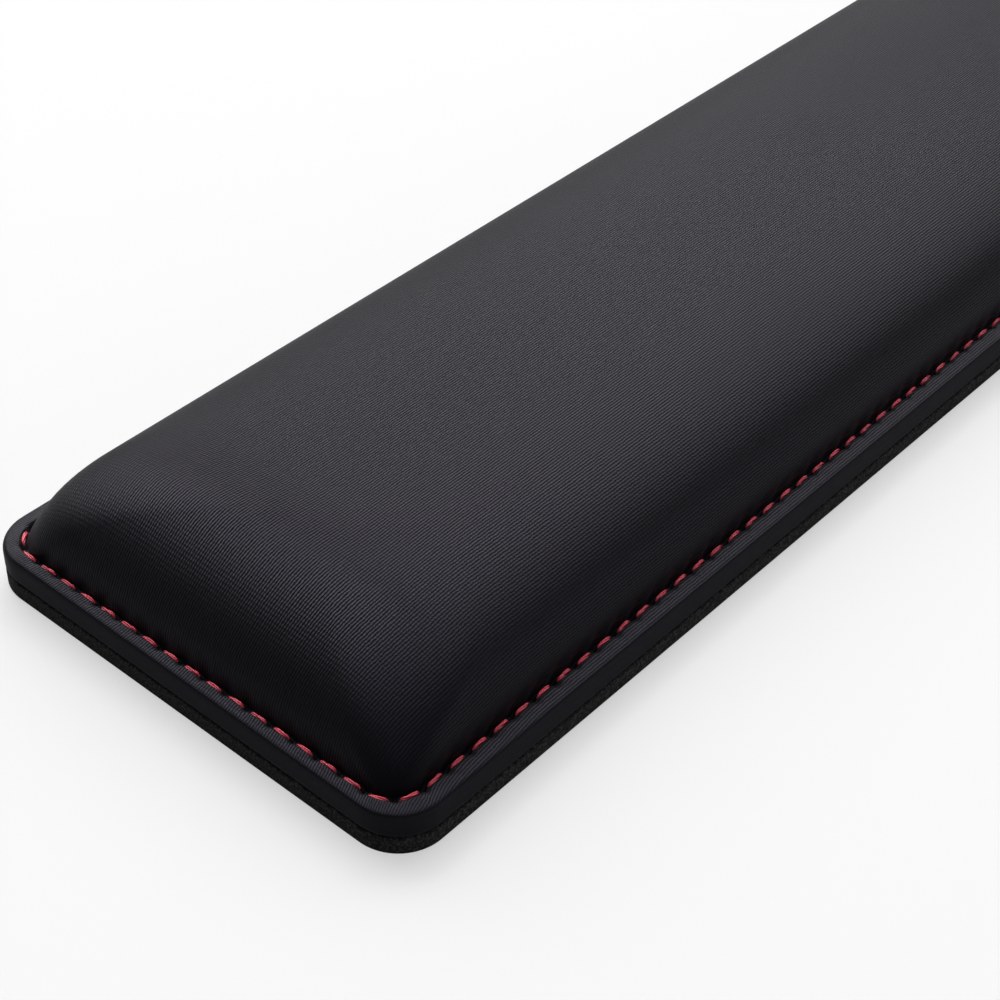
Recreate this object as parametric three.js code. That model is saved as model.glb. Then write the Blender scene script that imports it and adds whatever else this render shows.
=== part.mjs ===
// Full-size keyboard wrist rest: a domed memory-foam core on a foam board, under one fabric cover that is
// stitched round the foot of the dome and wrapped over the board's edge, bonded to a non-slip rubber base.
// Millimetres, +Z up, X along the keyboard, origin at the middle of the underside.
import * as THREE from "three";

// Overall size
const LENGTH = 457;
const WIDTH = 88;
const HEIGHT = 22.6;
const OUTER_CORNER = 8;
const SEAM_CORNER = 5.4;

// Layers, from the desk up
const RUBBER = 3;
const RUBBER_CHAMFER = 0.4;
const FILM = 0.3;
const FILM_SETBACK = 1.4;
const FABRIC = 0.7;
const HEM_WIDTH = 12;
const HEM_ROUNDING = 0.5;

// Flange: the padded rim between the outer wall and the stitch line
const END_BORDER = 2.5;
const LONG_BORDER = 3.6;
const WALL_TOP = 6.4;
const CREST_HEIGHT = 7.85;
const CREST_SHARE = 0.7;
const SHOULDER_SLOPE = 0.34;
const SHOULDER_ROLL = 8;
const SHOULDER_STEPS = [0.04, 0.13, 0.35, 0.7, 1];
const VALLEY_HEIGHT = 7.2;
const VALLEY_HALF_WIDTH = 0.6;

// Dome: a superellipse arch across the pad, with a rounder run-down at each end
const SIDE_FULLNESS = 3;
const END_FULLNESS = 2;
const END_RUN = 28;
const CROWN_SHARE = 0.985;
const FOOT_CORNER = 4.8;
const CORNER_GROWTH = 0.8;
const DOME_STEPS = 12;

// Thread and the groove that the bobbin thread lies in
const THREAD_RADIUS = 0.4;
const THREAD_SIDES = 8;
const GROOVE_HALF_WIDTH = 0.6;
const GROOVE_DEPTH = 0.9;

const CORE_FILM = 0.2;
const CLEARANCE = 0.3;
const CORNER_STEPS = 8;
const SMALLEST_CORNER = 1.5;

// Heights worked out from the layers
const HEM_BOTTOM = RUBBER + FILM;
const BOARD_BOTTOM = HEM_BOTTOM + FABRIC;
const BOARD_TOP = VALLEY_HEIGHT - FABRIC;

const materials = {
  rubber: new THREE.MeshStandardMaterial({ color: 0x1c1b1a, roughness: 0.92, metalness: 0 }),
  film: new THREE.MeshStandardMaterial({ color: 0x0a0a0a, roughness: 0.5, metalness: 0 }),
  fabric: new THREE.MeshStandardMaterial({ color: 0x1f1f22, roughness: 0.8, metalness: 0 }),
  board: new THREE.MeshStandardMaterial({ color: 0x2a2a2c, roughness: 0.95, metalness: 0 }),
  foam: new THREE.MeshStandardMaterial({ color: 0x8fa3b4, roughness: 0.95, metalness: 0 }),
  thread: new THREE.MeshStandardMaterial({ color: 0xc4303f, roughness: 0.6, metalness: 0 }),
};

// A rounded rectangle at one height, counter-clockwise seen from above.
function ringPoints({ halfLength, halfWidth, corner, z }) {
  const radius = Math.min(corner, halfWidth);
  const points = [];
  for (let quarter = 0; quarter < 4; quarter++) {
    const alongX = quarter === 0 || quarter === 3 ? 1 : -1;
    const alongY = quarter < 2 ? 1 : -1;
    for (let step = 0; step <= CORNER_STEPS; step++) {
      const angle = (quarter + step / CORNER_STEPS) * (Math.PI / 2);
      const x = alongX * (halfLength - radius) + radius * Math.cos(angle);
      const y = alongY * (halfWidth - radius) + radius * Math.sin(angle);
      points.push(new THREE.Vector3(x, y, z));
    }
  }
  return points;
}

// A closed skin through a list of rings: capped at both ends, or joined back to its first ring.
function loft(rings, { loop = false } = {}) {
  const loops = rings.map(ringPoints);
  const count = loops[0].length;
  const triangles = [];
  const spans = loop ? loops.length : loops.length - 1;
  for (let k = 0; k < spans; k++) {
    const lower = loops[k];
    const upper = loops[(k + 1) % loops.length];
    for (let i = 0; i < count; i++) {
      const j = (i + 1) % count;
      triangles.push(lower[i], lower[j], upper[j], lower[i], upper[j], upper[i]);
    }
  }
  if (!loop) {
    const first = loops[0];
    const last = loops[loops.length - 1];
    const firstCentre = new THREE.Vector3(0, 0, first[0].z);
    const lastCentre = new THREE.Vector3(0, 0, last[0].z);
    for (let i = 0; i < count; i++) {
      const j = (i + 1) % count;
      triangles.push(firstCentre, first[j], first[i], lastCentre, last[i], last[j]);
    }
  }
  const geometry = new THREE.BufferGeometry().setFromPoints(triangles);
  geometry.computeVertexNormals();
  return geometry;
}

// A ring placed by its share of the border (0 at the outer wall, 1 at the stitch line) and a distance inward.
function borderRing(share, inward, z) {
  const alongInset = share * END_BORDER + inward;
  const acrossInset = share * LONG_BORDER + inward;
  const corner = OUTER_CORNER + (SEAM_CORNER - OUTER_CORNER) * share - inward;
  return {
    halfLength: LENGTH / 2 - alongInset,
    halfWidth: WIDTH / 2 - acrossInset,
    corner: Math.max(corner, SMALLEST_CORNER),
    z,
  };
}

// The rings of a dome from its foot up to its flat crown, moved inward all round by shrink.
function domeRings(footHeight, crownHeight, shrink) {
  const halfLength = LENGTH / 2 - END_BORDER - VALLEY_HALF_WIDTH - shrink;
  const halfWidth = WIDTH / 2 - LONG_BORDER - VALLEY_HALF_WIDTH - shrink;
  const rings = [];
  for (let step = 0; step <= DOME_STEPS; step++) {
    const rise = Math.pow(Math.sin((Math.PI / 2) * (step / DOME_STEPS)), 2 / SIDE_FULLNESS);
    const share = CROWN_SHARE * rise;
    const sideShare = Math.pow(1 - Math.pow(share, SIDE_FULLNESS), 1 / SIDE_FULLNESS);
    const endShare = Math.pow(1 - Math.pow(share, END_FULLNESS), 1 / END_FULLNESS);
    const lift = rise * (crownHeight - footHeight);
    rings.push({
      halfLength: halfLength - END_RUN * (1 - endShare),
      halfWidth: halfWidth * sideShare,
      corner: FOOT_CORNER + CORNER_GROWTH * lift,
      z: footHeight + lift,
    });
  }
  return rings;
}

// Non-slip rubber sheet with a small chamfer on both edges.
function rubberBase() {
  return loft([
    borderRing(0, RUBBER_CHAMFER, 0),
    borderRing(0, 0, RUBBER_CHAMFER),
    borderRing(0, 0, RUBBER - RUBBER_CHAMFER),
    borderRing(0, RUBBER_CHAMFER, RUBBER),
  ]);
}

// Bonding film, set back from the edge and thicker inside the hem, where it reaches the board.
function baseFilm() {
  return loft([
    borderRing(0, FILM_SETBACK, RUBBER),
    borderRing(0, FILM_SETBACK, HEM_BOTTOM),
    borderRing(0, HEM_WIDTH + CLEARANCE, HEM_BOTTOM),
    borderRing(0, HEM_WIDTH + CLEARANCE, BOARD_BOTTOM),
  ]);
}

// The flange from its wall to its crest: a tight roll, then a slight slope that falls outward.
function shoulderRings() {
  return SHOULDER_STEPS.map((step) => {
    const roll = Math.sqrt(1 - Math.pow(1 - step, SHOULDER_ROLL));
    const rise = (1 - SHOULDER_SLOPE) * roll + SHOULDER_SLOPE * step;
    return borderRing(CREST_SHARE * step, 0, WALL_TOP + (CREST_HEIGHT - WALL_TOP) * rise);
  });
}

// The whole fabric cover as one skin: dome lining, flange and wall inside, hem, then the same way back outside.
function cover() {
  const inside = domeRings(BOARD_TOP, HEIGHT - FABRIC, FABRIC).reverse();
  const outside = domeRings(VALLEY_HEIGHT, HEIGHT, 0);
  return loft([
    ...inside,
    borderRing(1, -VALLEY_HALF_WIDTH, BOARD_TOP),
    borderRing(0.5, 0, CREST_HEIGHT - FABRIC),
    borderRing(0, FABRIC, WALL_TOP - CLEARANCE),
    borderRing(0, FABRIC, BOARD_BOTTOM),
    borderRing(0, HEM_WIDTH, BOARD_BOTTOM),
    borderRing(0, HEM_WIDTH, HEM_BOTTOM),
    borderRing(0, HEM_ROUNDING, HEM_BOTTOM),
    borderRing(0, 0, HEM_BOTTOM + HEM_ROUNDING),
    borderRing(0, 0, WALL_TOP),
    ...shoulderRings(),
    borderRing(1, -VALLEY_HALF_WIDTH, VALLEY_HEIGHT),
    ...outside,
  ]);
}

// Foam board that the cover wraps: a soft raised rim fills the flange, and a groove takes the bobbin thread.
function carrierBoard() {
  const edge = FABRIC + CLEARANCE;
  return loft([
    borderRing(1, GROOVE_HALF_WIDTH, BOARD_BOTTOM),
    borderRing(1, GROOVE_HALF_WIDTH, BOARD_BOTTOM + GROOVE_DEPTH),
    borderRing(1, -GROOVE_HALF_WIDTH, BOARD_BOTTOM + GROOVE_DEPTH),
    borderRing(1, -GROOVE_HALF_WIDTH, BOARD_BOTTOM),
    borderRing(0, edge, BOARD_BOTTOM),
    borderRing(0, edge, WALL_TOP - 2 * CLEARANCE),
    borderRing(0.5, 0, CREST_HEIGHT - edge),
    borderRing(1, -VALLEY_HALF_WIDTH, BOARD_TOP - CLEARANCE),
    borderRing(1, VALLEY_HALF_WIDTH, BOARD_TOP - CLEARANCE),
    borderRing(1, VALLEY_HALF_WIDTH + FABRIC + CLEARANCE, BOARD_TOP),
  ]);
}

// Thin bonding film that keeps the core from wandering on the board.
function coreFilm() {
  const inward = VALLEY_HALF_WIDTH + FABRIC + 2 * CLEARANCE;
  return loft([borderRing(1, inward, BOARD_TOP), borderRing(1, inward, BOARD_TOP + CORE_FILM)]);
}

// Memory-foam core: the dome's shape with a flat underside.
function foamCore() {
  return loft(domeRings(BOARD_TOP + CORE_FILM, HEIGHT - FABRIC - CLEARANCE, FABRIC + CLEARANCE));
}

// One closed loop of thread round the stitch line.
function threadLoop(centreHeight) {
  const rings = [];
  for (let side = 0; side < THREAD_SIDES; side++) {
    const angle = ((side + 0.5) / THREAD_SIDES) * 2 * Math.PI;
    const reach = THREAD_RADIUS * Math.cos(angle);
    rings.push(borderRing(1, -reach, centreHeight + THREAD_RADIUS * Math.sin(angle)));
  }
  return loft(rings, { loop: true });
}

function piece(name, geometry, material) {
  const mesh = new THREE.Mesh(geometry, material);
  mesh.name = name;
  return mesh;
}

const wristRest = new THREE.Group();
wristRest.add(
  piece("rubber_base", rubberBase(), materials.rubber),
  piece("base_film", baseFilm(), materials.film),
  piece("cover", cover(), materials.fabric),
  piece("carrier_board", carrierBoard(), materials.board),
  piece("core_film", coreFilm(), materials.film),
  piece("foam_core", foamCore(), materials.foam),
  piece("needle_thread", threadLoop(VALLEY_HEIGHT + THREAD_RADIUS), materials.thread),
  piece("bobbin_thread", threadLoop(BOARD_BOTTOM + THREAD_RADIUS), materials.thread),
);

export default wristRest;
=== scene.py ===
import math

import bpy
import numpy as np
from mathutils import Matrix, Vector


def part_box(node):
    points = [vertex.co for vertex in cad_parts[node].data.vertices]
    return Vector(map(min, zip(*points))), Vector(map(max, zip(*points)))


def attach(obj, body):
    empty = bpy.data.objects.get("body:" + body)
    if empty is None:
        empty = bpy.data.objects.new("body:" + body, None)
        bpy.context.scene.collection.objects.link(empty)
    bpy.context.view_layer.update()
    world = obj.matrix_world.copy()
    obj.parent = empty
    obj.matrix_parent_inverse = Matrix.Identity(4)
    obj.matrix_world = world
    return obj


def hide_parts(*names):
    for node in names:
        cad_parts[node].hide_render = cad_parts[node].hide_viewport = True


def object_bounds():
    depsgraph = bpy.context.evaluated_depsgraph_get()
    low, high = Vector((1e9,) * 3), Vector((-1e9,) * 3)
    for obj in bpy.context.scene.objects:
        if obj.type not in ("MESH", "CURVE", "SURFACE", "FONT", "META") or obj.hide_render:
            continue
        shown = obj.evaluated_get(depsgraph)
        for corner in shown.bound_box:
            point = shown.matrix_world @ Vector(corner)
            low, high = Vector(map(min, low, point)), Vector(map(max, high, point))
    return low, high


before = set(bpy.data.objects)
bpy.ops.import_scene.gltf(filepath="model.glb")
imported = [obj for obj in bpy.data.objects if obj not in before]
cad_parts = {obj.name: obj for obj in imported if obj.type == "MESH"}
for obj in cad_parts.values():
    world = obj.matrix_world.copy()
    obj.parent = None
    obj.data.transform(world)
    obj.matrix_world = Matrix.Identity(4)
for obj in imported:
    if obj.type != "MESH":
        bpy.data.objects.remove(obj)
cad_low, cad_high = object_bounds()

# The script works in millimetres, and meshes are written in metres.
MM = 0.001

# Sizes read from the frame
LENGTH = (cad_high.x - cad_low.x) / MM
WIDTH = (cad_high.y - cad_low.y) / MM
HEIGHT = cad_high.z / MM
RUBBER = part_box("rubber_base")[1].z / MM
HEM_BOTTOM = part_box("cover")[0].z / MM
BOARD_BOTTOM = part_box("carrier_board")[0].z / MM
BOARD_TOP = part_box("core_film")[0].z / MM
CORE_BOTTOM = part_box("foam_core")[0].z / MM
CORE_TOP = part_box("foam_core")[1].z / MM

# The flange, the stitch line and the hem
OUTER_CORNER = 8.0
SEAM_CORNER = 5.4
SMALLEST_CORNER = 1.0
END_BORDER = 2.5
LONG_BORDER = 3.6
WALL_TOP = 6.4
CREST_HEIGHT = 7.85
CREST_SHARE = 0.8
SHOULDER_SLOPE = 0.34
SHOULDER_ROLL = 8
VALLEY_HEIGHT = 7.2
FOOT_INSET = 0.6
HEM_WIDTH = 12.0
HEM_ROUNDING = 0.6
FABRIC = 0.7
CLEARANCE = 0.3

# The dome
SIDE_FULLNESS = 3.0
END_FULLNESS = 2.0
END_RUN = 28.0
FOOT_CORNER = 4.8
CORNER_GROWTH = 0.8
FOOT_HALF_LENGTH = LENGTH / 2 - END_BORDER - FOOT_INSET
FOOT_HALF_WIDTH = WIDTH / 2 - LONG_BORDER - FOOT_INSET
RISE = HEIGHT - VALLEY_HEIGHT

# Stitches round the pad, and columns of mesh for each of them
STITCHES = 233
COVER_COLUMNS = 10
INNER_COLUMNS = 2
NEEDLE_COLUMNS = 20
BOBBIN_COLUMNS = 10

# How the stitches pull at the cloth
HOLE_REACH = 0.42
HOLE_DEPTH = 0.7
HOLE_SPREAD = 0.8
RIM_PUFF = 0.09
FOOT_PUCKER = 0.25

# Ribs, and how they fan out from one line as they run down the ends
RIB_PITCH = 0.452
RIB_WAVER = 0.06
YARN_PITCH = 0.62
SIDE_STRETCH = 0.09
END_FAN = 0.1
FRONT_FAN_SHARE = 0.35
FAN_LINE = -18.0
FAN_OPENING = 13.0
FAN_CLOSING = 15.0
FAN_CLOSED = 0.7

# How proud the ribs stand, and how much painted shade darkens their grooves, on the top, over the sides and
# down the ends
RIB_AMOUNTS = {
    "relief": (1.2, 0.85, 1.1),
    "painted_groove_shade": (0.25, 0.45, 1.0),
}

# How flat the cloth is pulled at the dome's foot and how far up, and how much painted light lies on the
# flange's roll at the wall
FOOT_PULL = 0.5
FOOT_PULL_RUN = 9.0
WALL_PAINTED_LIGHT = 0.42

# Thread
PLIES = 3
PLY_SIDES = 8
PLY_OFFSET = 0.16
PLY_RADIUS = 0.15
THREAD_LAY = 8.0
THREAD_LIFT = 0.15
THREAD_DIVE = 1.6

# Base and board
RUBBER_EDGE = 0.35
LATTICE_PITCH = 1.8
GROOVE_HALF_WIDTH = 0.75
GROOVE_DEPTH = 1.0

# Colours
# Painted shade: the black painted into the rib grooves and at the dome's foot
PAINTED_SHADE_BLACK = (0.001, 0.001, 0.0012, 1)
RIB_BLACK = (0.0047, 0.0045, 0.0053, 1)
# Painted light: a lighter black painted on the flange, where light falls on it
PAINTED_LIT_BLACK = (0.0138, 0.0136, 0.0158, 1)
TOP_GLOSS = (0.375, 0.343, 0.492, 1)
# Painted highlight: a brighter reflection tint on the rib crests down the ends
END_PAINTED_HIGHLIGHT = (0.79, 0.735, 0.99, 1)
# Painted shade: the dark reflection tint painted into the grooves and at the dome's foot
PAINTED_SHADE_GLOSS = (0.02, 0.02, 0.024, 1)
SHEEN = (0.95, 0.85, 1.0, 1)
THREAD_REDS = ((0.5, 0.008, 0.025, 1), (1.0, 0.07, 0.14, 1))
RUBBER_GREYS = ((0.0045, 0.004, 0.004, 1), (0.054, 0.050, 0.050, 1))
BOARD_GREYS = ((0.03, 0.03, 0.03, 1), (0.07, 0.07, 0.072, 1))
FOAM_BLUES = ((0.22, 0.29, 0.37, 1), (0.33, 0.42, 0.52, 1))
FILM_BLACKS = ((0.008, 0.008, 0.008, 1), (0.02, 0.02, 0.02, 1))
WHITE = (1, 1, 1, 1)

# The camera: angles in degrees, and its place from the seam's front left corner, in metres
CAMERA_AZIMUTH = -49.6
CAMERA_ELEVATION = 40.2
CAMERA_ROLL = 1.37
CAMERA_LENS = 76.54
CAMERA_SENSOR = 36.0
CAMERA_FROM_SEAM = (-0.13565, -0.1326, 0.2151)

# Soft lights: direction from the pad's middle, width and height in metres, power in watts
LIGHT_DISTANCE = 2.4
SOFTBOXES = {
    "key": ((0.30, 0.68, 0.62), (2.7, 1.8), 51.0),
    "side": ((0.75, 0.13, 0.72), (1.8, 1.5), 20.0),
    "front": ((0.45, -1.0, 0.35), (2.0, 0.9), 9.5),
    "near": ((-0.5, -0.5, 0.72), (0.9, 0.9), 3.5),
    "overhead": ((0.05, 0.28, 1.0), (2.3, 1.9), 25.0),
}
FILL_LIGHT = 0.078
BACKDROP = 0.9

# The floor, in metres: its glow is seen by the camera only, and grows where the lights fall off
FLOOR_HALF = 12.0
FLOOR_SHADE = 0.42
FLOOR_GLOW = 0.5
FAR_GLOW = 0.87
GLOW_GROWS = (1.3, 3.0)


def smooth(value):
    """0 to 1 with flat ends."""
    value = np.clip(value, 0, 1)
    return value * value * (3 - 2 * value)


def bell(value, middle, reach):
    """1 at the middle, falling to nearly 0 at twice the reach."""
    return math.exp(-(((value - middle) / reach) ** 2))


# ---------------------------------------------------------------- outlines


class Outline:
    """Columns set evenly along the stitch line from the middle of the left end, mirrored front to back.

    Any rounded rectangle round the pad is drawn with them."""

    def __init__(self, count):
        half_length = LENGTH / 2 - END_BORDER
        half_width = WIDTH / 2 - LONG_BORDER
        arc = SEAM_CORNER * math.pi / 2
        along = 2 * (half_length - SEAM_CORNER)
        across = 2 * (half_width - SEAM_CORNER)
        lengths = np.array([arc, along, arc, across] * 2)
        ends = np.cumsum(lengths)
        self.count = count
        self.perimeter = ends[-1]
        place = (np.arange(count) / count * self.perimeter - across / 2) % self.perimeter
        self.segment = np.minimum(np.searchsorted(ends, place, side="right"), 7)
        self.share = (place - (ends - lengths)[self.segment]) / lengths[self.segment]
        self.stitch = ((place - arc / 2) % self.perimeter) / self.perimeter * STITCHES
        corner = self.segment // 2
        angle = math.pi + (corner + np.where(self.segment % 2 == 0, self.share, 1)) * math.pi / 2
        self.outward = np.stack([np.cos(angle), np.sin(angle)], 1)

    def ring(self, half_length, half_width, corner):
        """Plan points of one rounded rectangle, a point for each column."""
        centre_x = (half_length - corner) * np.array([-1, 1, 1, -1])
        centre_y = (half_width - corner) * np.array([-1, -1, 1, 1])
        here = self.segment // 2
        following = (here + 1) % 4
        x = centre_x[here] + corner * self.outward[:, 0]
        y = centre_y[here] + corner * self.outward[:, 1]
        straight = self.segment % 2 == 1
        move = np.where(straight, self.share, 0)
        x += move * (centre_x[following] - centre_x[here])
        y += move * (centre_y[following] - centre_y[here])
        return np.stack([x, y], 1)

    def border(self, share, inward=0.0):
        """A ring from the outer wall (share 0) to the stitch line (share 1), moved inward."""
        end_inset = share * END_BORDER + inward
        long_inset = share * LONG_BORDER + inward
        corner = OUTER_CORNER + (SEAM_CORNER - OUTER_CORNER) * share - inward
        return self.ring(LENGTH / 2 - end_inset, WIDTH / 2 - long_inset, max(corner, SMALLEST_CORNER))

    def dome(self, share, shrink, rise):
        """The dome's ring at a share of its height."""
        return self.ring(*dome_size(share, shrink, rise))


def dome_size(share, shrink, rise):
    """Half length, half width and corner radius of the dome at a share of its height."""
    side = (1 - share**SIDE_FULLNESS) ** (1 / SIDE_FULLNESS)
    end = (1 - share**END_FULLNESS) ** (1 / END_FULLNESS)
    length = FOOT_HALF_LENGTH - shrink - END_RUN * (1 - end)
    width = (FOOT_HALF_WIDTH - shrink) * side
    corner = min(FOOT_CORNER + CORNER_GROWTH * share * rise, 0.9 * width)
    return length, width, corner


def dome_shares(rise, first_step, growth, widest_step, crown_half_width):
    """Height shares of the dome's rows, spaced along the slope: close at the foot, wider at the crown."""
    turn = np.linspace(0, math.pi / 2, 4000)
    power = 2 / SIDE_FULLNESS
    y = FOOT_HALF_WIDTH * np.cos(turn).clip(0) ** power
    share = np.sin(turn) ** power
    run = np.concatenate([[0], np.cumsum(np.hypot(np.diff(y), np.diff(share * rise)))])
    last = np.interp(-crown_half_width, -y, run)
    places = [0.0]
    step = first_step
    while places[-1] + step < last:
        places.append(places[-1] + step)
        step = min(step * growth, widest_step)
    return np.interp(np.array(places) * last / places[-1], run, share)


# ---------------------------------------------------------------- meshes


def stack_rows(rows):
    """Rows of (plan points, heights) as an array of rows x columns x 3."""
    return np.stack([np.column_stack([plan, np.broadcast_to(z, len(plan))]) for plan, z in rows])


def mesh_object(name, points, faces, cloth=None, marks=None):
    """A smooth-shaded mesh object, with its cloth coordinates and named values at its points."""
    mesh = bpy.data.meshes.new(name)
    mesh.from_pydata((points * MM).tolist(), [], faces)
    mesh.polygons.foreach_set("use_smooth", np.ones(len(mesh.polygons), bool))
    if cloth is not None:
        layer = mesh.uv_layers.new(name="cloth")
        corners = np.zeros(len(mesh.loops), np.int32)
        mesh.loops.foreach_get("vertex_index", corners)
        layer.data.foreach_set("uv", cloth[corners].astype(np.float32).ravel())
    for mark, amounts in (marks or {}).items():
        values = mesh.attributes.new(mark, "FLOAT", "POINT")
        values.data.foreach_set("value", amounts.astype(np.float32).ravel())
    mesh.update()
    piece = bpy.data.objects.new(name, mesh)
    bpy.context.scene.collection.objects.link(piece)
    return piece


def skin_faces(rows, columns, closed=False):
    """Quads between neighbouring rows of a ring-shaped skin."""
    spans = rows if closed else rows - 1
    row = np.arange(spans)[:, None] * columns
    above = ((np.arange(spans) + 1) % rows)[:, None] * columns
    here = np.arange(columns)[None]
    there = (here + 1) % columns
    quads = np.stack([row + here, row + there, above + there, above + here], -1)
    return quads.reshape(-1, 4).tolist()


def cap_faces(first, outline, upwards):
    """Closes one flat ring: a face over each rounded end, and quads from side to side between them."""
    columns = outline.count
    reach = int(np.flatnonzero(outline.segment == 0)[-1]) + 1
    faces = [[first + i % columns for i in range(-reach, reach + 1)]]
    for i in range(reach, columns // 2 - reach):
        faces.append([first + i, first + i + 1, first + columns - i - 1, first + columns - i])
    middle = first + columns // 2
    faces.append(list(range(middle - reach, middle + reach + 1)))
    return faces if upwards else [face[::-1] for face in faces]


def closed_skin(name, outline, grid, cloth=None, marks=None):
    """A closed mesh from rows of rings, capped below its first row and above its last."""
    rows, columns, _ = grid.shape
    points = grid.reshape(-1, 3)
    faces = skin_faces(rows, columns)
    faces += cap_faces(0, outline, upwards=False)
    faces += cap_faces((rows - 1) * columns, outline, upwards=True)
    flat = None if cloth is None else cloth.reshape(-1, 2)
    return mesh_object(name, points, faces, flat, marks)


# ---------------------------------------------------------------- cover: shape


def shoulder(step):
    """Height share of the flange from its wall (0) to its crest (1): a tight roll, then a slight slope."""
    roll = math.sqrt(1 - (1 - step) ** SHOULDER_ROLL)
    return (1 - SHOULDER_SLOPE) * roll + SHOULDER_SLOPE * step


# The cover's outer face is a list of rows: plan points, height, and how far the row lies outside the
# stitch line, which is None on the wall and the hem and negative up the dome.


def hem_rows(outline):
    """The hem from its inner edge outward, its rounded edge and the wall."""
    rows = []
    for inward in (HEM_WIDTH, HEM_WIDTH - 0.4, 4.0, 1.2):
        rows.append((outline.border(0, inward), HEM_BOTTOM, None))
    for turn in np.radians([0, 30, 60, 90]):
        inward = HEM_ROUNDING * (1 - math.sin(turn))
        z = HEM_BOTTOM + HEM_ROUNDING * (1 - math.cos(turn))
        rows.append((outline.border(0, inward), z, None))
    for z in np.linspace(HEM_BOTTOM + HEM_ROUNDING, WALL_TOP, 8)[1:]:
        rows.append((outline.border(0), z, None))
    return rows


def flange_rows(outline):
    """The flange from the wall over its crest and down to the stitch line."""
    rows = []
    for turn in np.radians(np.linspace(9, 90, 12)):
        step = 1 - math.cos(turn)
        share = CREST_SHARE * step
        z = WALL_TOP + (CREST_HEIGHT - WALL_TOP) * shoulder(step)
        rows.append((outline.border(share), z, (1 - share) * LONG_BORDER))
    for step in np.linspace(0, 1, 7)[1:]:
        share = CREST_SHARE + (1 - CREST_SHARE) * step
        z = CREST_HEIGHT - (CREST_HEIGHT - VALLEY_HEIGHT) * float(smooth(step))
        rows.append((outline.border(share), z, (1 - share) * LONG_BORDER))
    return rows


def dome_rows(outline):
    """The dome from the stitch line up to its crown."""
    rows = [(outline.border(1, inward), VALLEY_HEIGHT, -inward) for inward in (0.2, 0.4)]
    shares = dome_shares(RISE, first_step=0.22, growth=1.07, widest_step=1.5, crown_half_width=2.2)
    for share in shares:
        lift = RISE * share
        rows.append((outline.dome(share, 0, RISE), VALLEY_HEIGHT + lift, -FOOT_INSET - lift))
    return rows


def lining_rows(outline):
    """The cover's inner face, from the crown down to the hem's inner edge."""
    rows = []
    for share in (0.98, 0.85, 0.6, 0.3, 0.0):
        rows.append((outline.dome(share, FABRIC, RISE), VALLEY_HEIGHT - FABRIC + RISE * share))
    rows.append((outline.border(1), VALLEY_HEIGHT - FABRIC - 0.5))
    rows.append((outline.border(0.5), CREST_HEIGHT - FABRIC - CLEARANCE))
    rows.append((outline.border(0, FABRIC), WALL_TOP - FABRIC))
    rows.append((outline.border(0, FABRIC), BOARD_BOTTOM))
    rows.append((outline.border(0, HEM_WIDTH), BOARD_BOTTOM))
    return rows


def stitch_phase(outline):
    """Distance of each column to its nearest needle hole, and a random strength for each hole."""
    rng = np.random.default_rng(7)
    strength = 1 + 0.22 * rng.standard_normal(STITCHES + 1)
    strength[-1] = strength[0]
    nearest = np.round(outline.stitch).astype(int)
    distance = (outline.stitch - nearest) * outline.perimeter / STITCHES
    return distance, np.clip(strength[nearest], 0.5, 1.5)


def press_stitches(grid, offsets, outline):
    """Pulls the cloth down at the needle holes, and lets it puff up and pucker between them."""
    distance, strength = stitch_phase(outline)
    hole = np.exp(-np.abs(distance / HOLE_REACH) ** 2.5) * strength
    between = -0.5 * np.cos(2 * math.pi * outline.stitch) * strength
    for row, offset in enumerate(offsets):
        if offset is None:
            continue
        grid[row, :, 2] -= HOLE_DEPTH * bell(offset, 0, HOLE_SPREAD) * hole
        grid[row, :, 2] += RIM_PUFF * bell(offset, 1.0, 0.7) * between
        pucker = FOOT_PUCKER * bell(offset, -1.8, 1.3) * between
        grid[row, :, :2] += outline.outward * pucker[:, None]


# ---------------------------------------------------------------- cover: how the cloth lies


def ring_gap(x, y, half_length, half_width, corner):
    """Distance from plan points in one quarter to a rounded rectangle, negative inside it."""
    beyond_x = x - (half_length - corner)
    beyond_y = y - (half_width - corner)
    outside = np.hypot(beyond_x.clip(0), beyond_y.clip(0))
    return outside + np.minimum(np.maximum(beyond_x, beyond_y), 0) - corner


def dome_heights(inward, sideways):
    """Height shares of the dome over plan points, found between a stack of its rings."""
    height = np.zeros(np.broadcast_shapes(inward.shape, sideways.shape))
    last_gap, last_share = None, 0.0
    for share in np.sin(np.linspace(0, math.pi / 2, 90)) ** 0.8:
        gap = ring_gap(FOOT_HALF_LENGTH - inward, sideways, *dome_size(share, 0, RISE))
        if last_gap is not None:
            crossed = (last_gap < 0) & (gap >= 0)
            part = np.where(crossed, last_gap / np.minimum(last_gap - gap, -1e-9), 0)
            height = np.where(crossed, last_share + part * (share - last_share), height)
            height = np.where(gap < 0, share, height)
        last_gap, last_share = gap, share
    return height


def dome_lengths():
    """Cloth lengths from the spine straight out to each plan point of a quarter of the dome.

    The cloth is stretched a little where it is pulled down over the sides."""
    inward = np.linspace(0, END_RUN + 12, 161)[:, None]
    sideways = np.linspace(0, FOOT_HALF_WIDTH, 200)[None]
    width = np.diff(sideways, axis=1)
    slope = np.diff(dome_heights(inward, sideways) * RISE, axis=1) / width
    stretch = 1 + SIDE_STRETCH * smooth(np.abs(slope) / 0.25)
    steps = np.sqrt(1 + slope**2) * width / stretch
    spine = np.zeros((len(inward), 1))
    return inward[:, 0], sideways[0], np.concatenate([spine, np.cumsum(steps, axis=1)], axis=1)


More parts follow.
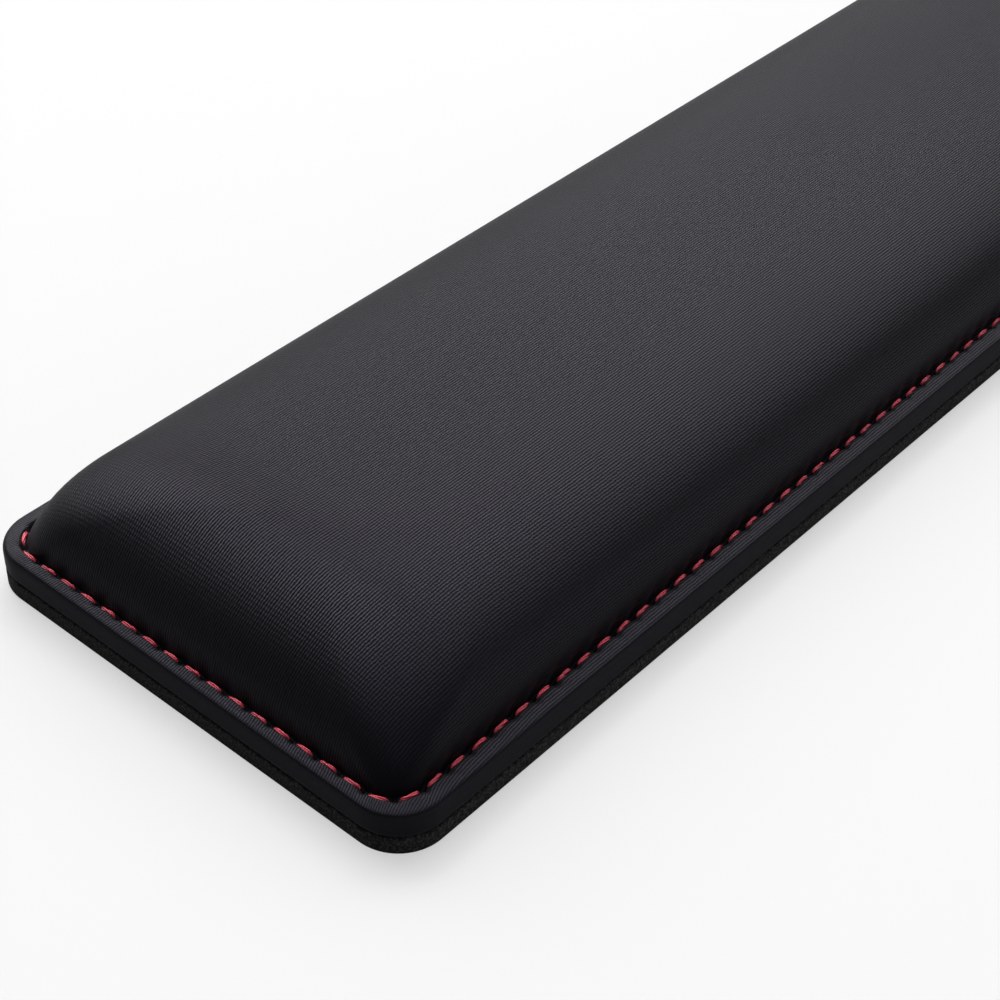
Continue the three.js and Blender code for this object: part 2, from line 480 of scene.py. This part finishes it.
def across_cloth(points):
    """How far each dome point lies from the spine, measured on the cloth.

    The ribs fan out a little from one line as they run down the ends, and close up again at the foot."""
    inward, sideways, lengths = dome_lengths()
    row_step = inward[1] - inward[0]
    row = (FOOT_HALF_LENGTH - np.abs(points[..., 0])) / row_step
    column = np.abs(points[..., 1]) / (sideways[1] - sideways[0])
    row = row.clip(0, len(inward) - 1.001)
    column = column.clip(0, len(sideways) - 1.001)
    i, j = row.astype(int), column.astype(int)
    u, v = row - i, column - j
    near = lengths[i, j] * (1 - v) + lengths[i, j + 1] * v
    far = lengths[i + 1, j] * (1 - v) + lengths[i + 1, j + 1] * v
    beyond = np.sign(points[..., 1]) * (near * (1 - u) + far * u) - FAN_LINE
    from_end = row * row_step
    closed = FAN_CLOSED * smooth((FAN_CLOSING - from_end) / FAN_CLOSING)
    spread = smooth((END_RUN - from_end) / FAN_OPENING) * (1 - closed)
    fan = 1 + END_FAN * spread * np.where(beyond > 0, 1.0, FRONT_FAN_SHARE)
    return beyond / fan + FAN_LINE


def cloth_coordinates(grid, outline, foot_row):
    """Where each point lies on the flat cloth: along the ribs and across them, in mm.

    Below the dome's foot the cloth runs straight outward."""
    rows, columns, _ = grid.shape
    cloth = np.zeros((rows, columns, 2))
    cloth[foot_row:, :, 0] = grid[foot_row:, :, 0]
    cloth[foot_row:, :, 1] = across_cloth(grid[foot_row:])
    for row in range(foot_row - 1, -1, -1):
        step = np.linalg.norm(grid[row] - grid[row + 1], axis=1)
        cloth[row] = cloth[row + 1] + outline.outward * step[:, None]
    return cloth


def cloth_tightness(offset):
    """How far the cloth is pulled flat: fully on the wall and hem, half way at the dome's foot."""
    if offset is None:
        return 1.0
    if offset < 0:
        return FOOT_PULL * float(1 - smooth((-offset - FOOT_INSET) / FOOT_PULL_RUN))
    return float(smooth((offset - 0.75 * LONG_BORDER) / (0.25 * LONG_BORDER)))


def flange_painted_light(offset):
    """Painted light on the flange: lighter between the stitches and the fold, and a little over the fold.
    """
    if offset is None or offset < 0:
        return 0.0
    flange = smooth((0.85 * LONG_BORDER - offset) / 0.4)
    return float(smooth(offset / 0.5) * (WALL_PAINTED_LIGHT + (1 - WALL_PAINTED_LIGHT) * flange))


def rib_marks(points, tightness, painted_light):
    """How proud the ribs stand and how much painted shade darkens their grooves.

    Down the ends the grooves get the most painted shade; over the sides the cloth is stretched."""
    inward = FOOT_HALF_LENGTH - np.abs(points[..., 0])
    sideways = np.abs(points[..., 1])
    side = smooth((sideways / FOOT_HALF_WIDTH - 0.55) / 0.25)
    below_crown = smooth((END_RUN - inward - 4) / 11)
    clear_of_sides = smooth((FOOT_HALF_WIDTH - sideways - 7) / 14)
    end = below_crown * clear_of_sides * smooth(inward / 3)
    pressed = np.maximum(1 - 1.3 * tightness, 0.05) * (1 - 0.4 * painted_light)
    # The flange's painted light is passed on to the material as it is
    marks = {"tightness": tightness, "painted_light": painted_light}
    for name, (on_top, over_side, at_end) in RIB_AMOUNTS.items():
        amount = on_top + (over_side - on_top) * side
        marks[name] = (amount + (at_end - amount) * end) * pressed
    return marks


def make_cover(outline):
    """The fabric cover: one closed skin, with the cloth's coordinates and marks on it."""
    rows = hem_rows(outline) + flange_rows(outline) + dome_rows(outline)
    offsets = [offset for _, _, offset in rows]
    grid = stack_rows([(plan, z) for plan, z, _ in rows])
    foot_row = next(i for i, offset in enumerate(offsets) if offset is not None and offset <= -FOOT_INSET)
    cloth = cloth_coordinates(grid, outline, foot_row)
    press_stitches(grid, offsets, outline)
    lining = stack_rows(lining_rows(outline))
    points = np.concatenate([lining, grid])
    cloth = np.concatenate([lining[:, :, :2], cloth])

    def by_row(amount):
        values = [0.0] * len(lining) + [amount(offset) for offset in offsets]
        return np.repeat(np.array(values)[:, None], outline.count, axis=1)

    marks = rib_marks(points, by_row(cloth_tightness), by_row(flange_painted_light))
    return closed_skin("cover_cloth", outline, points, cloth, marks)


# ---------------------------------------------------------------- thread


def needle_path(path):
    """Centre line of the top thread, which lies on the cloth and dives through it at each needle hole.

    Also how near each point is to a hole, 0 between holes and 1 in one."""
    rng = np.random.default_rng(11)
    which = np.floor(path.stitch + 1e-9).astype(int) % STITCHES
    slant = (0.10 + 0.035 * rng.standard_normal(STITCHES))[which]
    height = (THREAD_LIFT + 0.04 * rng.standard_normal(STITCHES))[which]
    turn = path.stitch % 1.0
    reach = np.abs(2 * turn - 1)
    dive = smooth((reach - 0.52) / 0.36)
    z = VALLEY_HEIGHT + height - (THREAD_DIVE + height) * dive + 0.15 * (1 - reach**2)
    sideways = -slant * np.sin((turn - 0.5) * math.pi)
    return np.column_stack([path.border(1) + path.outward * sideways[:, None], z]), reach


def twisted_thread(name, path, centre, slim):
    """A closed thread of plies laid together with a long twist."""
    count = path.count
    tangent = np.roll(centre, -1, 0) - np.roll(centre, 1, 0)
    tangent /= np.linalg.norm(tangent, axis=1)[:, None]
    side = np.column_stack([path.outward, np.zeros(count)])
    side -= tangent * np.sum(side * tangent, 1)[:, None]
    side /= np.linalg.norm(side, axis=1)[:, None]
    up = np.cross(tangent, side)
    spin = np.arange(count) / count * round(path.perimeter / THREAD_LAY) * 2 * math.pi
    points, faces = [], []
    for ply in range(PLIES):
        angle = spin + ply * 2 * math.pi / PLIES
        around = side * np.cos(angle)[:, None] + up * np.sin(angle)[:, None]
        middle = centre + PLY_OFFSET * slim * around
        rings = [
            middle + PLY_RADIUS * slim * (side * math.cos(turn) + up * math.sin(turn))
            for turn in np.arange(PLY_SIDES) * -2 * math.pi / PLY_SIDES
        ]
        first = len(points) * PLY_SIDES * count
        points.append(np.stack(rings).reshape(-1, 3))
        faces += (np.array(skin_faces(PLY_SIDES, count, closed=True)) + first).tolist()
    return mesh_object(name, np.concatenate(points), faces)


def make_needle_thread():
    """The red top thread, thinner where it is pulled into the needle holes."""
    path = Outline(STITCHES * NEEDLE_COLUMNS)
    centre, reach = needle_path(path)
    slim = 1.05 - 0.5 * smooth((reach - 0.25) / 0.45)
    return twisted_thread("needle_stitches", path, centre, slim[:, None])


def make_bobbin_thread():
    """The lower thread of the seam, in the board's groove, drawn up at each needle hole."""
    path = Outline(STITCHES * BOBBIN_COLUMNS)
    reach = np.abs(2 * (path.stitch % 1.0) - 1)
    z = BOARD_BOTTOM + 0.42 + 0.35 * smooth((reach - 0.6) / 0.4)
    centre = np.column_stack([path.border(1), z])
    return twisted_thread("bobbin_stitches", path, centre, np.ones((path.count, 1)))


# ---------------------------------------------------------------- base and inner pieces


def make_rubber(outline):
    """The rubber sheet, with softly broken edges."""
    rows = [
        (outline.border(0, 2.0), 0.0),
        (outline.border(0, RUBBER_EDGE), 0.0),
        (outline.border(0, 0.1), 0.1),
        (outline.border(0, 0), RUBBER_EDGE),
    ]
    for z in np.linspace(RUBBER_EDGE, RUBBER - RUBBER_EDGE, 6)[1:]:
        rows.append((outline.border(0, 0), z))
    rows += [
        (outline.border(0, 0.1), RUBBER - 0.1),
        (outline.border(0, RUBBER_EDGE), RUBBER),
        (outline.border(0, 2.0), RUBBER),
    ]
    return closed_skin("rubber_sheet", outline, stack_rows(rows))


def make_board(outline):
    """The foam board, from the lower thread's groove out round its soft rim and back in over the top."""
    edge = FABRIC + CLEARANCE
    rim_side = WALL_TOP - 0.9
    rim_rise = CREST_HEIGHT - 1.3 - rim_side
    valley = BOARD_TOP - 0.8
    rows = [
        (outline.border(1, GROOVE_HALF_WIDTH), BOARD_BOTTOM),
        (outline.border(1, GROOVE_HALF_WIDTH), BOARD_BOTTOM + GROOVE_DEPTH),
        (outline.border(1, -GROOVE_HALF_WIDTH), BOARD_BOTTOM + GROOVE_DEPTH),
        (outline.border(1, -GROOVE_HALF_WIDTH), BOARD_BOTTOM),
        (outline.border(0, edge + 0.2), BOARD_BOTTOM),
        (outline.border(0, edge), BOARD_BOTTOM + 0.2),
    ]
    for turn in np.linspace(0, math.pi / 2, 6):
        plan = outline.border(0.5 * (1 - math.cos(turn)), edge * math.cos(turn))
        rows.append((plan, rim_side + rim_rise * math.sin(turn)))
    rows += [
        (outline.border(1, -0.3), valley),
        (outline.border(1, 0.7), valley),
        (outline.border(1, 1.6), BOARD_TOP),
        (outline.border(1, 4.0), BOARD_TOP),
    ]
    return closed_skin("board_pad", outline, stack_rows(rows))


def make_core(outline):
    """The foam block: the dome's shape with a flat underside."""
    rise = CORE_TOP - CORE_BOTTOM
    rows = []
    for share in dome_shares(rise, first_step=0.8, growth=1.1, widest_step=2.5, crown_half_width=2.5):
        rows.append((outline.dome(share, FABRIC + CLEARANCE, rise), CORE_BOTTOM + rise * share))
    return closed_skin("foam_block", outline, stack_rows(rows))


# ---------------------------------------------------------------- materials


class Nodes:
    """A small helper round a material's node tree."""

    def __init__(self, name):
        self.material = bpy.data.materials.new(name)
        self.material.use_nodes = True
        self.tree = self.material.node_tree
        self.shader = self.tree.nodes["Principled BSDF"]

    def add(self, kind, inputs=None, **settings):
        """A node with its settings, and its inputs set to values or linked to sockets."""
        node = self.tree.nodes.new("ShaderNode" + kind)
        for key, value in settings.items():
            setattr(node, key, value)
        for key, value in (inputs or {}).items():
            if isinstance(value, bpy.types.NodeSocket):
                self.tree.links.new(value, node.inputs[key])
            else:
                node.inputs[key].default_value = value
        return node

    def math(self, operation, a, b=0.0):
        return self.add("Math", {0: a, 1: b}, operation=operation).outputs[0]

    def plus(self, a, b):
        return self.math("ADD", a, b)

    def times(self, a, b):
        return self.math("MULTIPLY", a, b)

    def ramp(self, value, low, high, to_low=0.0, to_high=1.0):
        """A value moved from one range to another, and kept inside it."""
        names = {"Value": value, "From Min": low, "From Max": high, "To Min": to_low, "To Max": to_high}
        return self.add("MapRange", names).outputs[0]

    def mix(self, factor, a, b):
        return self.add("Mix", {0: factor, 6: a, 7: b}, data_type="RGBA").outputs[2]

    def noise(self, where, scale, detail):
        return self.add("TexNoise", {"Vector": where, "Scale": scale, "Detail": detail}).outputs[0]

    def mark(self, name):
        """A value that the mesh holds at its points."""
        return self.add("Attribute", attribute_name=name).outputs["Fac"]

    def place(self):
        """The point on the object, in metres."""
        return self.add("TexCoord").outputs["Object"]

    def link(self, socket, name):
        """Links a socket to one of the shader's own."""
        self.tree.links.new(socket, self.shader.inputs[name])

    def bump(self, height, strength, depth):
        """Bumps the surface by a height, where 1 is depth millimetres."""
        inputs = {"Strength": strength, "Distance": depth * MM, "Height": height}
        self.link(self.add("Bump", inputs).outputs[0], "Normal")

    def set(self, **values):
        """Sets the shader's own sockets, with _ for the spaces in their names."""
        for key, value in values.items():
            self.shader.inputs[key.replace("_", " ")].default_value = value


def fabric_ribs(n, cloth):
    """Round ribs that waver a little: 0 in their grooves and 1 on their crests."""
    across = n.add("SeparateXYZ", {0: cloth}).outputs[1]
    waver = n.noise(cloth, 1.1, 2.0)
    across = n.plus(across, n.ramp(waver, 0.3, 0.7, -RIB_WAVER, RIB_WAVER))
    wave = n.math("SINE", n.times(across, math.pi / RIB_PITCH))
    return n.math("POWER", n.math("ABSOLUTE", wave), 0.7)


def fabric_bump(n, cloth, ribs, fine):
    """The ribs, the yarn wound round them and a fine grain."""
    along = n.add("SeparateXYZ", {0: cloth}).outputs[0]
    yarn = n.math("SINE", n.times(along, 2 * math.pi / YARN_PITCH))
    height = n.plus(n.plus(ribs, n.times(yarn, 0.12)), n.times(fine, 0.5))
    n.bump(n.times(height, n.mark("relief")), 1.0, 0.06)


def fabric_colour(n, cloth, ribs, painted_foot_shade):
    """Black, with painted light on the flange, painted shade in the grooves and at the dome's foot, faintly
    streaked.
    """
    # Painted light: the flange's crests take a lighter black
    crest = n.mix(n.mark("painted_light"), RIB_BLACK, PAINTED_LIT_BLACK)
    colour = n.mix(painted_foot_shade, n.mix(ribs, PAINTED_SHADE_BLACK, crest), PAINTED_SHADE_BLACK)
    stretched = n.add("Mapping", {"Vector": cloth, "Scale": (0.5, 4.0, 1.0)}).outputs[0]
    shade = n.ramp(n.noise(stretched, 0.6, 3.0), 0.3, 0.7, 0.9, 1.1)
    n.link(n.add("HueSaturation", {"Value": shade, "Color": colour}).outputs[0], "Base Color")


def fabric_material():
    """Black ribbed fabric: round ribs, a fine yarn across them, a soft gloss on the ribs' tops, painted
    light on the flange, painted shade in the grooves and at the dome's foot, and a painted highlight on the
    crests down the ends.
    """
    n = Nodes("ribbed_fabric")
    cloth = n.add("UVMap", uv_map="cloth").outputs[0]
    tight, painted_groove_shade = n.mark("tightness"), n.mark("painted_groove_shade")
    ribs = fabric_ribs(n, cloth)
    fine = n.noise(cloth, 3.0, 2.0)
    fabric_bump(n, cloth, ribs, fine)
    ribs_seen = n.math("MAXIMUM", ribs, tight)
    # Painted shade at the dome's foot, where the cloth is half pulled flat; none on the wall
    painted_foot_shade = n.times(n.ramp(tight, 0.2, FOOT_PULL, 0.0, 0.5), n.ramp(tight, 0.9, 0.6))
    fabric_colour(n, cloth, ribs_seen, painted_foot_shade)
    rough = n.plus(n.ramp(ribs_seen, 0.3, 0.95, 0.8, 0.37), n.ramp(fine, 0.3, 0.7, -0.03, 0.04))
    n.link(n.plus(rough, n.times(n.math("POWER", tight, 2.0), 0.35)), "Roughness")
    # Painted shade: the reflection tint is darkened in the grooves and at the dome's foot
    shadow = n.math("MAXIMUM", n.times(n.ramp(ribs, 1.0, 0.68), painted_groove_shade), painted_foot_shade)
    # Painted highlight: the crests down the ends reflect more than those on the top
    gloss_with_painted_highlight = n.mix(n.ramp(painted_groove_shade, 0.45, 1.0), TOP_GLOSS, END_PAINTED_HIGHLIGHT)
    n.link(n.mix(shadow, gloss_with_painted_highlight, PAINTED_SHADE_GLOSS), "Specular Tint")
    n.set(Specular_IOR_Level=0.38, Sheen_Weight=0.06, Sheen_Roughness=0.35, Sheen_Tint=SHEEN)
    return n.material


def thread_material():
    """Red thread, with fine fibres and a silky gloss."""
    n = Nodes("red_thread")
    fibre = n.noise(n.place(), 9000.0, 2.0)
    n.link(n.mix(n.ramp(fibre, 0.35, 0.65), *THREAD_REDS), "Base Color")
    n.bump(fibre, 0.6, 0.05)
    n.set(Roughness=0.3, Specular_IOR_Level=1.0)
    return n.material


def raised_lattice(n, where):
    """A lattice of diagonal ridges on the underside only."""
    place = n.add("SeparateXYZ", {0: where})
    ridges = []
    for combine in ("ADD", "SUBTRACT"):
        diagonal = n.math(combine, place.outputs[0], place.outputs[1])
        wave = n.math("SINE", n.times(diagonal, math.pi / (LATTICE_PITCH * MM)))
        ridges.append(n.math("POWER", n.math("SUBTRACT", 1.0, n.math("ABSOLUTE", wave)), 2.0))
    below = n.ramp(place.outputs[2], 0.0, 0.1 * MM, 1.0, 0.0)
    return n.times(n.math("MAXIMUM", *ridges), below)


def rubber_material():
    """Sponge rubber: mottled and open on its cut side, with a raised lattice underneath."""
    n = Nodes("sponge_rubber")
    where = n.place()
    blotch = n.noise(where, 2600.0, 3.0)
    pore = n.add("TexVoronoi", {"Vector": where, "Scale": 1500.0}).outputs["Distance"]
    n.link(n.mix(n.ramp(blotch, 0.42, 0.72), *RUBBER_GREYS), "Base Color")
    grain = n.plus(n.times(blotch, 0.7), n.times(pore, 0.4))
    n.bump(n.plus(grain, n.times(raised_lattice(n, where), 2.5)), 1.0, 0.18)
    n.set(Roughness=0.9, Specular_IOR_Level=0.3)
    return n.material


def mottled_material(name, colours, scale, depth, roughness):
    """A mottled material for the inner pieces."""
    n = Nodes(name)
    cells = n.noise(n.place(), scale, 4.0)
    n.link(n.mix(n.ramp(cells, 0.35, 0.65), *colours), "Base Color")
    n.bump(cells, 0.8, depth)
    n.set(Roughness=roughness)
    return n.material


def dress(piece, material):
    """Gives an object one material."""
    piece.data.materials.clear()
    piece.data.materials.append(material)


# ---------------------------------------------------------------- camera, light and floor


def make_camera():
    """The camera, looking down on the pad's front left corner."""
    azimuth, elevation, roll = map(math.radians, (CAMERA_AZIMUTH, CAMERA_ELEVATION, CAMERA_ROLL))
    back = Vector((
        math.sin(azimuth) * math.cos(elevation),
        -math.cos(azimuth) * math.cos(elevation),
        math.sin(elevation),
    ))
    right = Vector((0, 0, 1)).cross(back).normalized()
    up = back.cross(right)
    rolled_right = math.cos(roll) * right + math.sin(roll) * up
    rolled_up = back.cross(rolled_right)
    data = bpy.data.cameras.new("camera")
    data.lens = CAMERA_LENS
    data.sensor_width = CAMERA_SENSOR
    data.clip_start, data.clip_end = 0.01, 50.0
    camera = bpy.data.objects.new("camera", data)
    turn = Matrix((rolled_right, rolled_up, back)).transposed().to_4x4()
    seam = Vector((cad_low.x + END_BORDER * MM, cad_low.y + LONG_BORDER * MM, VALLEY_HEIGHT * MM))
    camera.matrix_world = Matrix.Translation(seam + Vector(CAMERA_FROM_SEAM)) @ turn
    bpy.context.scene.collection.objects.link(camera)
    bpy.context.scene.camera = camera


def make_world():
    """A pale studio: nearly white behind the object, and only a dim fill of light from all round."""
    world = bpy.data.worlds.new("studio")
    world.use_nodes = True
    tree = world.node_tree
    tree.nodes.clear()
    seen = tree.nodes.new("ShaderNodeLightPath")
    mix = tree.nodes.new("ShaderNodeMixShader")
    output = tree.nodes.new("ShaderNodeOutputWorld")
    tree.links.new(seen.outputs["Is Camera Ray"], mix.inputs[0])
    for socket, strength in ((1, FILL_LIGHT), (2, BACKDROP)):
        background = tree.nodes.new("ShaderNodeBackground")
        background.inputs["Color"].default_value = WHITE
        background.inputs["Strength"].default_value = strength
        tree.links.new(background.outputs[0], mix.inputs[socket])
    tree.links.new(mix.outputs[0], output.inputs[0])
    bpy.context.scene.world = world
    bpy.context.scene.view_settings.view_transform = "Standard"


def make_softbox(name, direction, size, power):
    """A large area light, turned to the pad's middle and hidden from the camera."""
    data = bpy.data.lights.new(name, "AREA")
    data.shape = "RECTANGLE"
    data.size, data.size_y = size
    data.energy = power
    light = bpy.data.objects.new(name, data)
    towards = Vector(direction).normalized()
    turn = towards.to_track_quat("Z", "Y").to_matrix().to_4x4()
    light.matrix_world = Matrix.Translation(towards * LIGHT_DISTANCE) @ turn
    light.visible_camera = False
    bpy.context.scene.collection.objects.link(light)


def make_floor():
    """A plain pale floor that stays pale where the lights fall off."""
    mesh = bpy.data.meshes.new("floor")
    corners = [(x * FLOOR_HALF, y * FLOOR_HALF, 0) for x, y in ((-1, -1), (1, -1), (1, 1), (-1, 1))]
    mesh.from_pydata(corners, [], [(0, 1, 2, 3)])
    floor = bpy.data.objects.new("floor", mesh)
    bpy.context.scene.collection.objects.link(floor)
    n = Nodes("floor_paint")
    n.set(Base_Color=(FLOOR_SHADE, FLOOR_SHADE, FLOOR_SHADE, 1), Roughness=0.9, Specular_IOR_Level=0.1)
    n.set(Emission_Color=WHITE)
    distance = n.add("VectorMath", {0: n.place()}, operation="LENGTH").outputs["Value"]
    seen = n.add("LightPath").outputs["Is Camera Ray"]
    n.link(n.times(seen, n.ramp(distance, *GLOW_GROWS, FLOOR_GLOW, FAR_GLOW)), "Emission Strength")
    dress(floor, n.material)


# ---------------------------------------------------------------- assembly


def assemble(piece, material, node):
    """Gives a piece its material, puts it on the body, and lets it stand for its CAD node."""
    dress(piece, material)
    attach(piece, "root")
    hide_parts(node)


make_camera()
make_world()
for name, (direction, size, power) in SOFTBOXES.items():
    make_softbox(name, direction, size, power)
make_floor()

outline = Outline(STITCHES * COVER_COLUMNS)
inner_outline = Outline(STITCHES * INNER_COLUMNS)

cover = make_cover(outline)
assemble(cover, fabric_material(), "cover")

red = thread_material()
assemble(make_needle_thread(), red, "needle_thread")
assemble(make_bobbin_thread(), red, "bobbin_thread")

assemble(make_rubber(outline), rubber_material(), "rubber_base")

board = make_board(inner_outline)
board_foam = mottled_material("board_foam", BOARD_GREYS, scale=2500.0, depth=0.08, roughness=0.9)
assemble(board, board_foam, "carrier_board")

core = make_core(inner_outline)
memory_foam = mottled_material("memory_foam", FOAM_BLUES, scale=1800.0, depth=0.1, roughness=0.9)
assemble(core, memory_foam, "foam_core")

film = mottled_material("bonding_film", FILM_BLACKS, scale=600.0, depth=0.03, roughness=0.5)
dress(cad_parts["core_film"], film)
dress(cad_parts["base_film"], film)
